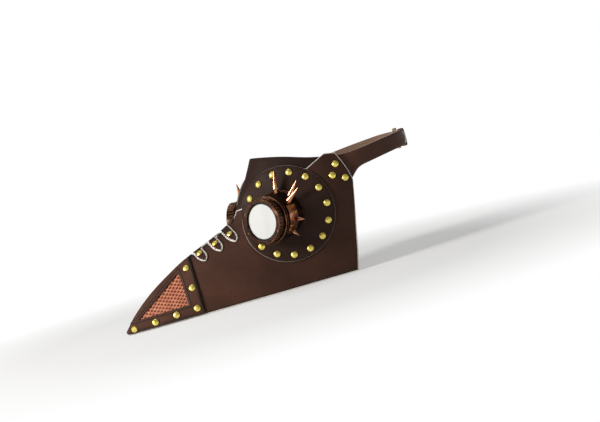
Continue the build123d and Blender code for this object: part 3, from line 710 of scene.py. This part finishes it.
buckle_brass = bright_brass("buckle_brass", (0.52, 0.34, 0.13), 0.34)
gasket_black = rubber("gasket_black")


# ---------------------------------------------------------------- thread
# Share of a stitch's length, girth and lift there, both as shares of its width: the ends dive in.
STITCH_STATIONS = (
    (0.0, 0.25, -0.35), (0.18, 0.9, 0.0), (0.5, 1.0, 0.12), (0.82, 0.9, 0.0), (1.0, 0.25, -0.35),
)


def capsule_run(name, runs, material, width):
    """Stitches: one flattened capsule for each (start, end, outward normal)."""
    ring = 6
    verts, faces = [], []
    for start, end, normal in runs:
        along = end - start
        length = np.linalg.norm(along)
        if length < 1e-6:
            continue
        along = along / length
        side = np.cross(along, normal)
        side /= np.linalg.norm(side)
        first = len(verts)
        for share, girth, lift in STITCH_STATIONS:
            middle = start + along * length * share + normal * lift * width
            for k in range(ring):
                turn = 2 * math.pi * k / ring
                out = side * math.cos(turn) + normal * math.sin(turn) * 0.8
                verts.append(tuple((middle + out * girth * width) * MM))
        for j in range(len(STITCH_STATIONS) - 1):
            for k in range(ring):
                a, b = first + j * ring + k, first + j * ring + (k + 1) % ring
                faces.append((a, b, b + ring, a + ring))
        faces.append(tuple(first + k for k in reversed(range(ring))))
        last = first + (len(STITCH_STATIONS) - 1) * ring
        faces.append(tuple(last + k for k in range(ring)))
    mesh = bpy.data.meshes.new(name)
    mesh.from_pydata(verts, [], faces)
    mesh.polygons.foreach_set("use_smooth", [True] * len(faces))
    mesh.materials.append(material)
    link(name, mesh)


STITCH_START = 0.4


def along_skin(points, height, side=1):
    """Places on the skin under a side-view line, with their normals."""
    out = []
    for y, z in points:
        q, z = flat(y, z)
        base, normal = skin_point(q * side, z, 0.0)
        out.append((base + normal * (height + wave(base) - dent(base)), normal))
    return out


def stitches(places, pitch, length):
    """Stitch segments spaced along a line of places."""
    spots = np.array([p for p, _ in places])
    normals = np.array([n for _, n in places])
    run = np.concatenate([[0], np.cumsum(np.linalg.norm(np.diff(spots, axis=0), axis=1))])

    def at(s):
        spot = np.array([np.interp(s, run, spots[:, k]) for k in range(3)])
        normal = np.array([np.interp(s, run, normals[:, k]) for k in range(3)])
        return spot, normal / np.linalg.norm(normal)

    out = []
    for i in range(int(run[-1] / pitch)):
        start = i * pitch + STITCH_START
        first, normal = at(start)
        second, _ = at(start + length)
        out.append((first, second, normal))
    return out


# ---------------------------------------------------------------- leather pieces
def build_panels():
    loops = panel_loops()
    for side, shape in (("left", loops), ("right", both_sides(loops))):
        piece = skin_sheet(f"{side}_cheek_leather", shape, PANEL, (panel_face, flesh, pale_edge), 4.5,
                           edge_round=0.3, band=1.1, dark_ridge=True, edge_fall=0.2)
        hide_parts(f"{side}_side_panel")


def build_patches():
    rim = flatten(circle(PATCH_CENTRE, PATCH_R, 150))
    hole = flatten(circle(BASE_CENTRE, EYE_HOLE_R, 72))
    for side, shape in (("left", [rim, hole]), ("right", both_sides([rim, hole]))):
        piece = skin_sheet(f"{side}_patch_leather", shape, PATCH, (patch_face, flesh, soiled_edge), 4.0,
                           edge_round=0.3, band=0.4)
        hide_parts(f"{side}_eye_patch")


def build_brow():
    piece = skin_sheet("forehead_leather", [over_ridge(brow_path())], BROW,
                       (brow_face, flesh, pale_edge), 5.0)
    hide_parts("forehead_panel")


def build_tabs():
    for name, spot in zip(("front", "middle", "rear"), TAB_RIVETS):
        piece = skin_sheet(f"{name}_tab_leather", [over_ridge(tab_path(spot))], PATCH,
                           (tab_face, flesh, pale_edge), 2.0, 0.3, band=0.8, arch=1.0)
        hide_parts(f"{name}_ridge_tab")


def build_cover():
    window = flatten(straight(WINDOW + WINDOW[:1]))[:-1]
    other = [(-q, z) for q, z in window]
    piece = skin_sheet("beak_tip_leather", [over_ridge(cover_path()), window, other], COVER,
                       (cover_face, flesh, dark_edge), 3.0, 0.3, band=0.9)
    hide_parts("beak_tip_cover")


def build_lining():
    path = straight([(front_y(103.0), 103.0), (front_y(101.0) + 6, 101.0)]) + straight(
        [(front_y(z) + 9.0, z) for z in (96, 84, 70, 50, 30, 14, 5)], 3.0)
    piece = skin_sheet("ridge_tape", [over_ridge(path)], TAPE, (tape_cloth, tape_cloth, tape_cloth),
                       3.0, 0.15, calm=True)
    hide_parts("ridge_lining")
    cord = []
    for z in np.linspace(12.0, 104.0, 120):
        base, normal = skin_point(0.0, z, 0.0)
        covered = base[1] < -76.0 or min(abs(base[1] - y) for y, _ in TAB_RIVETS) < 8.0
        cord.append(base + normal * (CORD_LOW if covered else CORD_HIGH))
    tube("ridge_cord", cord, CORD_R, tape_cloth)


CORD_R = 1.3
CORD_LOW = -1.3
CORD_HIGH = 0.1


def tube(name, places, radius, material, sides=10):
    """Round cord through places that lie in the plane of symmetry."""
    spots = np.array(places)
    along = np.gradient(spots, axis=0)
    along /= np.linalg.norm(along, axis=1, keepdims=True)
    across = np.array([1.0, 0.0, 0.0])
    verts, faces = [], []
    for spot, ahead in zip(spots, along):
        out = np.cross(ahead, across)
        for k in range(sides):
            turn = 2 * math.pi * k / sides
            verts.append(tuple((spot + (across * math.cos(turn) + out * math.sin(turn)) * radius) * MM))
    for j in range(len(spots) - 1):
        for k in range(sides):
            a, b = j * sides + k, j * sides + (k + 1) % sides
            faces.append((a, b, b + sides, a + sides))
    faces.append(tuple(reversed(range(sides))))
    faces.append(tuple(range(len(verts) - sides, len(verts))))
    mesh = bpy.data.meshes.new(name)
    mesh.from_pydata(verts, [], faces)
    mesh.polygons.foreach_set("use_smooth", [True] * len(faces))
    mesh.materials.append(material)
    link(name, mesh)


def build_floor():
    """Leather floor of the beak, lying in the plane z = 0."""
    edge = []
    for t in np.linspace(0.02, 0.66, 60):
        base, normal = surface_point(t, 1.0), surface_normal(t, 1.0)
        place = base - normal * (LEATHER + 0.25)
        if place[1] < CHIN_Y and place[0] > 0.3:
            edge.append((place[0], place[1]))
    edge.append((edge[-1][0] + (CHIN_Y - edge[-1][1]) * 0.27, CHIN_Y))
    loop = straight([(0.0, edge[0][1])] + edge, 3.0)
    loop += [(-x, y) for x, y in reversed(loop) if x > 1e-6]
    verts, faces = triangulate([loop], 6.0)

    def place_at(x, y):
        return np.array([x, y, 0.0]), np.array([x, y, LEATHER - 0.1])

    piece = thick_sheet("beak_floor_leather", verts, faces, place_at, (panel_face, flesh, soiled_edge), 0.3)
    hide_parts("underside_panel")


def build_mesh():
    """Pressed copper-red mesh behind the windows: rows of slanted slots between raised strands."""
    middle = np.mean(WINDOW, axis=0)
    grown = [tuple(middle + (np.array(p) - middle) * 1.10) for p in WINDOW]
    ring = flatten(straight(grown + grown[:1], 1.0))[:-1]
    verts, faces = triangulate([ring], 0.9)
    for side in (1, -1):
        name = "left" if side > 0 else "right"
        points = [(side * q, z) for q, z in verts]

        def place_at(q, z):
            base, normal = skin_point(q, z, 0.0)
            return base + normal * (MESH[1] + 0.45 * relief(base)), base + normal * MESH[0]

        piece = thick_sheet(f"{name}_window_mesh", points, faces, place_at, (window_copper,) * 3, 0)
        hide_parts(f"{name}_vent_mesh")


# Slots of the pressed mesh: rows leaning down to the rear, slots leaning across the rows.
MESH_ROW = 4.3
MESH_PITCH = 3.8
ROW_LEAN = math.radians(-20)
SLOT_LEAN = math.radians(52)
SLOT_LONG = 2.1
SLOT_WIDE = 1.1


def relief(place):
    """Height of the pressed pattern, 0 in the slots and 1 on the strands."""
    y, z = place[1], place[2]
    along = y * math.cos(ROW_LEAN) + z * math.sin(ROW_LEAN)
    row = (z * math.cos(ROW_LEAN) - y * math.sin(ROW_LEAN)) / MESH_ROW
    across = along / MESH_PITCH + 0.5 * (math.floor(row) % 2)
    u = (across - math.floor(across) - 0.5) * MESH_PITCH
    v = (row - math.floor(row) - 0.5) * MESH_ROW
    length = (u * math.cos(SLOT_LEAN) + v * math.sin(SLOT_LEAN)) / SLOT_LONG
    width = (v * math.cos(SLOT_LEAN) - u * math.sin(SLOT_LEAN)) / SLOT_WIDE
    return 1.0 - math.exp(-length * length - width * width)


def mesh_copper(name):
    """Copper-red skin of the mesh, with painted shade in the pressed slots: dark red there."""
    n = Nodes(name)
    split = n.add("ShaderNodeSeparateXYZ")
    n.join(n.place, split.inputs[0])
    y, z = split.outputs["Y"], split.outputs["Z"]

    def turned(first, second, angle, sign):
        return n.maths("ADD", n.maths("MULTIPLY", first, math.cos(angle)),
                       n.maths("MULTIPLY", second, sign * math.sin(angle)))

    along = turned(y, z, ROW_LEAN, 1)
    row = n.maths("DIVIDE", turned(z, y, ROW_LEAN, -1), MESH_ROW * MM)
    shift = n.maths("MULTIPLY", n.maths("FLOORED_MODULO", n.maths("FLOOR", row, 0.0), 2.0), 0.5)
    across = n.maths("ADD", n.maths("DIVIDE", along, MESH_PITCH * MM), shift)
    u = n.maths("MULTIPLY", n.maths("SUBTRACT", n.maths("FRACT", across, 0.0), 0.5), MESH_PITCH)
    v = n.maths("MULTIPLY", n.maths("SUBTRACT", n.maths("FRACT", row, 0.0), 0.5), MESH_ROW)
    length = n.maths("DIVIDE", turned(u, v, SLOT_LEAN, 1), SLOT_LONG)
    width = n.maths("DIVIDE", turned(v, u, SLOT_LEAN, -1), SLOT_WIDE)
    spread = n.maths("ADD", n.maths("MULTIPLY", length, length), n.maths("MULTIPLY", width, width))
    # painted shade: the slots are painted a near-black red for the shade in them
    slot = n.ramp(spread, 1.3, 0.45)
    ground = n.mix(n.ramp(n.noise(110.0, 4.0), 0.35, 0.7), (0.52, 0.17, 0.085), (0.72, 0.29, 0.16))
    base = n.mix(slot, ground, (0.12, 0.016, 0.008))
    return n.set(color=base, rough=0.42, metal=0.1, normal=n.bump(n.noise(800.0), 0.15, 0.0002), spec=0.4)


window_copper = mesh_copper("window_copper")


# ---------------------------------------------------------------- thread on the cover and panels
KNOT_LIES = np.array([0, -0.6, 0.8])


def build_stitches():
    top, low, tip = inset(WINDOW, -2.8, 0.2)
    runs = []
    for side in (1, -1):
        for line in ([top, low], [low, tip], [tip, top]):
            runs += stitches(along_skin(straight(line, 1.5), COVER[1] + 0.15, side), 3.0, 2.1)
        low_edge = straight([(-83.5, 3.6), (-168.0, 3.2)], 1.5)
        rear_edge = smooth([(-79.0, 68.0), (-81.0, 50.0), (-82.2, 34.0), (-83.5, 5.0)], 12)
        for line in (low_edge, rear_edge):
            runs += stitches(along_skin(line, COVER[1] + 0.15, side), 3.0, 2.1)
    capsule_run("cover_stitches", runs, dark_thread, 0.6)
    rows = []
    for side in (1, -1):
        edge = straight([(REAR_FOOT_Y - 3.0, 2.6), (-78.0, 2.6)], 3.0)
        rows += stitches(along_skin(edge, PANEL[1] + 0.1, side), 3.4, 2.5)
    capsule_run("floor_stitches", rows, dark_thread, 0.4)
    knots = []
    for spot in TAB_RIVETS:
        for side in (1, -1):
            for right, low in ((-8.2, -6.5), (-8.6, -4.0)):
                place = tab_place(spot, right, low)
                if on_side(*place) > 0.0:
                    spot_out, normal = along_skin([place], PANEL[1] + 0.3, side)[0]
                    knots.append((spot_out - normal * 0.5, spot_out + normal * 0.9, KNOT_LIES))
    capsule_run("tab_knots", knots, dark_thread, 0.9)


# ---------------------------------------------------------------- head straps and keeper
STRAP_LEVELS = (108.0, 118.0, 128.0, 138.0, 148.0, 156.0)
STRAP_RISE_END_Y = 231.0
SLOT_HALF = 1.6
STRAP_SIDE = [(72.0, 156.0), (67.5, 178.0), (58.0, 201.0), (45.0, 220.0), (30.0, 231.6)]


def strap_curves(back):
    """Plan-view middle line of a strap at each level, as one array."""
    curves = []
    for z in STRAP_LEVELS:
        run = []
        for y in (104.0, 112.0, 124.0, 136.0):
            t = on_side(y, z)
            place = surface_point(t, z) + surface_normal(t, z) * (STRAP[0] + STRAP[1]) / 2
            run.append((place[0], place[1]))
        curves.append(smooth(run + STRAP_SIDE + back, 10))
    return np.array(curves)


def build_strap(name, replaced, back, mirrored, hole_x, tail_point):
    """Strap wrapped along its plan view; hole_x is the stretch slotted for the prong.

    tail_point is the length of the pointed end, 0 for a square end sewn round the bar."""
    curves = strap_curves(back)
    middle = curves[2]
    run = np.concatenate([[0], np.cumsum(np.linalg.norm(np.diff(middle, axis=0), axis=1))])
    tangents = np.gradient(curves, axis=1)
    tangents /= np.linalg.norm(tangents, axis=2, keepdims=True)
    out = np.stack([tangents[:, :, 1], -tangents[:, :, 0]], axis=2)

    def look(table, s, z):
        level = np.interp(z, STRAP_LEVELS, range(len(STRAP_LEVELS)))
        low = min(int(level), len(STRAP_LEVELS) - 2)
        pair = []
        for k in (low, low + 1):
            pair.append([np.interp(s, run, table[k, :, axis]) for axis in (0, 1)])
        return np.array(pair[0]) * (low + 1 - level) + np.array(pair[1]) * (level - low)

    def place_at(s, z):
        spot, away = look(curves, s, z), look(out, s, z)
        away /= np.linalg.norm(away)
        sway = 0.12 * math.sin(s / 9.0 + z / 11.0)
        places = []
        for depth in (LEATHER / 2 + sway, -LEATHER / 2 + sway):
            x, y = spot + away * depth
            places.append(np.array([-x if mirrored else x, y, z]))
        return places

    rising = middle[:, 1] <= STRAP_RISE_END_Y
    back_s = run[np.argmax(~rising)]

    def s_at(y):
        return float(np.interp(y, middle[rising, 1], run[rising]))

    low_z, high_z = STRAP_BACK_Z - STRAP_WIDTH / 2, STRAP_BACK_Z + STRAP_WIDTH / 2
    lower = [(s_at(y), z) for y, z in smooth(
        [(137.0, 113.0), (150.0, 124.0), (168.0, 127.6), (200.0, 131.5), (224.0, low_z)], 8)]
    upper = [(s_at(y), z) for y, z in smooth(
        [(124.0, 146.0), (150.0, 146.5), (190.0, 150.5), (224.0, high_z)], 8)]
    front = [(s_at(y), z) for y, z in straight(
        [(124.0, 146.0), (110.0, 141.0), (107.0, 118.0), (122.0, 111.0), (137.0, 113.0)])]
    end = run[-1]
    flat_low = straight([(back_s, low_z), (end - tail_point, low_z)])
    flat_high = straight([(end - tail_point, high_z), (back_s, high_z)])
    if tail_point:
        tip = smooth([(end - tail_point, low_z), (end - 0.25 * tail_point, low_z + 4.0),
                      (end, STRAP_BACK_Z), (end - 0.25 * tail_point, high_z - 4.0),
                      (end - tail_point, high_z)], 5)
    else:
        tip = straight([(end, low_z), (end, high_z)])
    loop = lower + flat_low[:-1] + tip[:-1] + flat_high + list(reversed(upper)) + front[1:-1]
    xs = middle[:, 0]
    late = run > back_s
    slot_s = [float(run[late][np.argmin(abs(xs[late] - x))]) for x in hole_x]
    first, last = min(slot_s), max(slot_s)
    if not tail_point:
        last = end - 6.0
    slot_low, slot_high = STRAP_BACK_Z - SLOT_HALF, STRAP_BACK_Z + SLOT_HALF
    slot = straight([(first, slot_low), (last, slot_low), (last, slot_high), (first, slot_high),
                     (first, slot_low)], 1.5)[:-1]
    verts, faces = triangulate([loop, slot], 3.0)
    piece = thick_sheet(name, verts, faces, place_at, (strap_face, flesh, pale_edge), 0.7, 2)
    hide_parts(replaced)


def build_straps():
    back_y = HEAD_BACK_Y
    wrap_r = 2.15
    wrap = [(BAR_X + wrap_r * math.cos(a), back_y + wrap_r * math.sin(a))
            for a in np.radians((90, 135, 180, 225, 270))]
    build_strap("left_strap_leather", "left_head_strap",
                [(20.0, back_y), (12.0, back_y), (7.0, back_y + 0.9)] + wrap
                + [(7.0, back_y - 2.25), (13.0, back_y - 2.3)], False, (5.0, 5.0), 0)
    tail_y = back_y + LEATHER + 0.3
    build_strap("right_strap_leather", "right_head_strap",
                [(22.0, back_y), (17.0, back_y), (12.5, back_y + 0.1), (6.0, back_y + 1.7),
                 (-2.0, back_y + LOOP_R + 1.4), (-9.0, tail_y + 0.4), (-13.0, tail_y),
                 (-20.0, tail_y), (-25.0, tail_y)], True, (11.0, 0.4), 7.0)


def build_keeper():
    """Leather loop that holds the strap's tail down."""
    inner_y, outer_y = 232.8, 237.5
    squareness = 0.35
    count = 64
    profile = ((13.2, 0.0), (13.2, 1.2), (13.5, 1.5), (20.5, 1.5), (20.8, 1.2), (20.8, 0.0))
    centre = np.array([(inner_y + outer_y) / 2, STRAP_BACK_Z])
    half = np.array([(outer_y - inner_y) / 2, STRAP_WIDTH / 2 + 0.3])
    verts, faces = [], []
    for turn in np.linspace(0, 2 * math.pi, count, endpoint=False):
        way = np.array([math.cos(turn), math.sin(turn)])
        spot = half * np.copysign(np.abs(way) ** squareness, way)
        away = spot / half
        away /= np.linalg.norm(away)
        for x, depth in profile:
            y, z = centre + spot + away * depth
            verts.append((x * MM, y * MM, z * MM))
    sides = len(profile)
    for i in range(count):
        for k in range(sides):
            a, b = i * sides + k, i * sides + (k + 1) % sides
            c, d = ((i + 1) % count) * sides + (k + 1) % sides, ((i + 1) % count) * sides + k
            faces.append((a, b, c, d))
    mesh = bpy.data.meshes.new("keeper_leather")
    mesh.from_pydata(verts, [], faces)
    mesh.polygons.foreach_set("use_smooth", [True] * len(faces))
    mesh.materials.append(strap_face)
    piece = link("keeper_leather", mesh, "keeper")
    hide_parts("strap_keeper")


# ---------------------------------------------------------------- metal parts of the frame
FINISHES = {
    "goggle_cup": copper_dark,
    "goggle_nut": copper_dark,
    "goggle_collar": copper_dark,
    "goggle_bezel": copper_rim,
    "goggle_spikes": copper_bright,
    "goggle_vent_plate": copper_bright,
    "goggle_gasket": gasket_black,
    "rivet": rivet_brass,
    "buckle": buckle_brass,
}


def finish_metal():
    for name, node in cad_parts.items():
        for key, material in FINISHES.items():
            if key in name:
                node.data.materials.clear()
                node.data.materials.append(material)
        if "goggle_lens" in name:
            spots = np.array([tuple(v.co) for v in node.data.vertices])
            node.data.materials.clear()
            node.data.materials.append(milky_lens(name + "_glass", tuple((spots.min(0) + spots.max(0)) / 2)))


build_panels()
build_patches()
build_brow()
build_tabs()
build_cover()
build_lining()
build_floor()
build_mesh()
build_stitches()
build_straps()
build_keeper()
finish_metal()


# ---------------------------------------------------------------- floor, light and camera
VIEW_AZIMUTH = math.radians(75)
VIEW_RISE = math.radians(3)
VIEW_ROLL = math.radians(15.8)
VIEW_DISTANCE = 2.0
VIEW_CENTRE = Vector((0.0599, 0.0639, 0.0916))
PICTURE_WIDTH = 0.750  # what the picture spans at the view centre
BACKDROP = (1.0, 1.0, 1.0)
SKY_LIGHT = 0.17
FADE_START = 0.30  # the floor turns into the backdrop between these distances, in metres
FADE_END = 0.60
FLOOR_GLOW = 0.35  # share of the backdrop's own light in the floor under the mask


def floor_paint(name):
    """White studio floor that keeps the object's shadow and fades into the backdrop."""
    n = Nodes(name)
    speckle = n.noise(3.0, 2.0)
    n.set(color=n.mix(speckle, (0.90, 0.90, 0.89), (0.92, 0.92, 0.91)), rough=0.9, spec=0.05)
    glow = n.add("ShaderNodeEmission")
    glow.inputs["Color"].default_value = (*BACKDROP, 1.0)
    reach = n.add("ShaderNodeVectorMath", operation="LENGTH")
    n.join(n.place, reach.inputs[0])
    far = n.ramp(reach.outputs["Value"], FADE_START, FADE_END, FLOOR_GLOW, 1.0)
    blend = n.add("ShaderNodeMixShader")
    n.join(far, blend.inputs[0])
    n.join(n.surface.outputs[0], blend.inputs[1])
    n.join(glow.outputs[0], blend.inputs[2])
    n.join(blend.outputs[0], n.tree.nodes["Material Output"].inputs["Surface"])
    return n.material


def build_stage():
    bpy.ops.mesh.primitive_plane_add(size=30.0, location=(0.0, 0.0, -0.0006))
    floor = bpy.context.object
    floor.name = "studio_floor"
    floor.data.materials.append(floor_paint("floor_paint"))
    world = bpy.data.worlds.new("studio")
    bpy.context.scene.world = world
    world.use_nodes = True
    tree = world.node_tree
    soft = tree.nodes["Background"]
    soft.inputs["Color"].default_value = (1.0, 0.99, 0.975, 1.0)
    soft.inputs["Strength"].default_value = SKY_LIGHT
    backdrop = tree.nodes.new("ShaderNodeBackground")
    backdrop.inputs["Color"].default_value = (*BACKDROP, 1.0)
    seen = tree.nodes.new("ShaderNodeLightPath")
    pick = tree.nodes.new("ShaderNodeMixShader")
    tree.links.new(seen.outputs["Is Camera Ray"], pick.inputs[0])
    tree.links.new(soft.outputs[0], pick.inputs[1])
    tree.links.new(backdrop.outputs[0], pick.inputs[2])
    tree.links.new(pick.outputs[0], tree.nodes["World Output"].inputs["Surface"])


def lamp(name, place, size, power, color=(1.0, 1.0, 1.0)):
    light = bpy.data.lights.new(name, "AREA")
    light.shape = "DISK"
    light.size = size
    light.energy = power
    light.color = color
    source = bpy.data.objects.new(name, light)
    bpy.context.scene.collection.objects.link(source)
    source.location = place
    aim = Vector((0.03, -0.02, 0.07)) - Vector(place)
    source.rotation_euler = aim.to_track_quat("-Z", "Y").to_euler()


def build_camera():
    back = Vector((math.sin(VIEW_AZIMUTH) * math.cos(VIEW_RISE),
                   -math.cos(VIEW_AZIMUTH) * math.cos(VIEW_RISE), math.sin(VIEW_RISE)))
    right = Vector((0, 0, 1)).cross(back).normalized()
    up = back.cross(right)
    top = (up * math.cos(VIEW_ROLL) + right * math.sin(VIEW_ROLL)).normalized()
    side = top.cross(back).normalized()
    turn = Matrix((side, top, back)).transposed().to_4x4()
    lens = bpy.data.cameras.new("camera")
    camera = bpy.data.objects.new("camera", lens)
    bpy.context.scene.collection.objects.link(camera)
    camera.matrix_world = Matrix.Translation(VIEW_CENTRE + back * VIEW_DISTANCE) @ turn
    lens.sensor_width = 36.0
    lens.lens = 36.0 * VIEW_DISTANCE / PICTURE_WIDTH
    bpy.context.scene.camera = camera


build_stage()
lamp("key", (0.38, -1.9, 0.85), 0.7, 50.0, (1.0, 0.985, 0.96))
lamp("fill", (1.7, 0.1, 0.6), 1.0, 1.2)
lamp("top", (-0.3, 0.0, 1.7), 0.8, 3.0)
build_camera()
bpy.context.scene.view_settings.view_transform = "Standard"
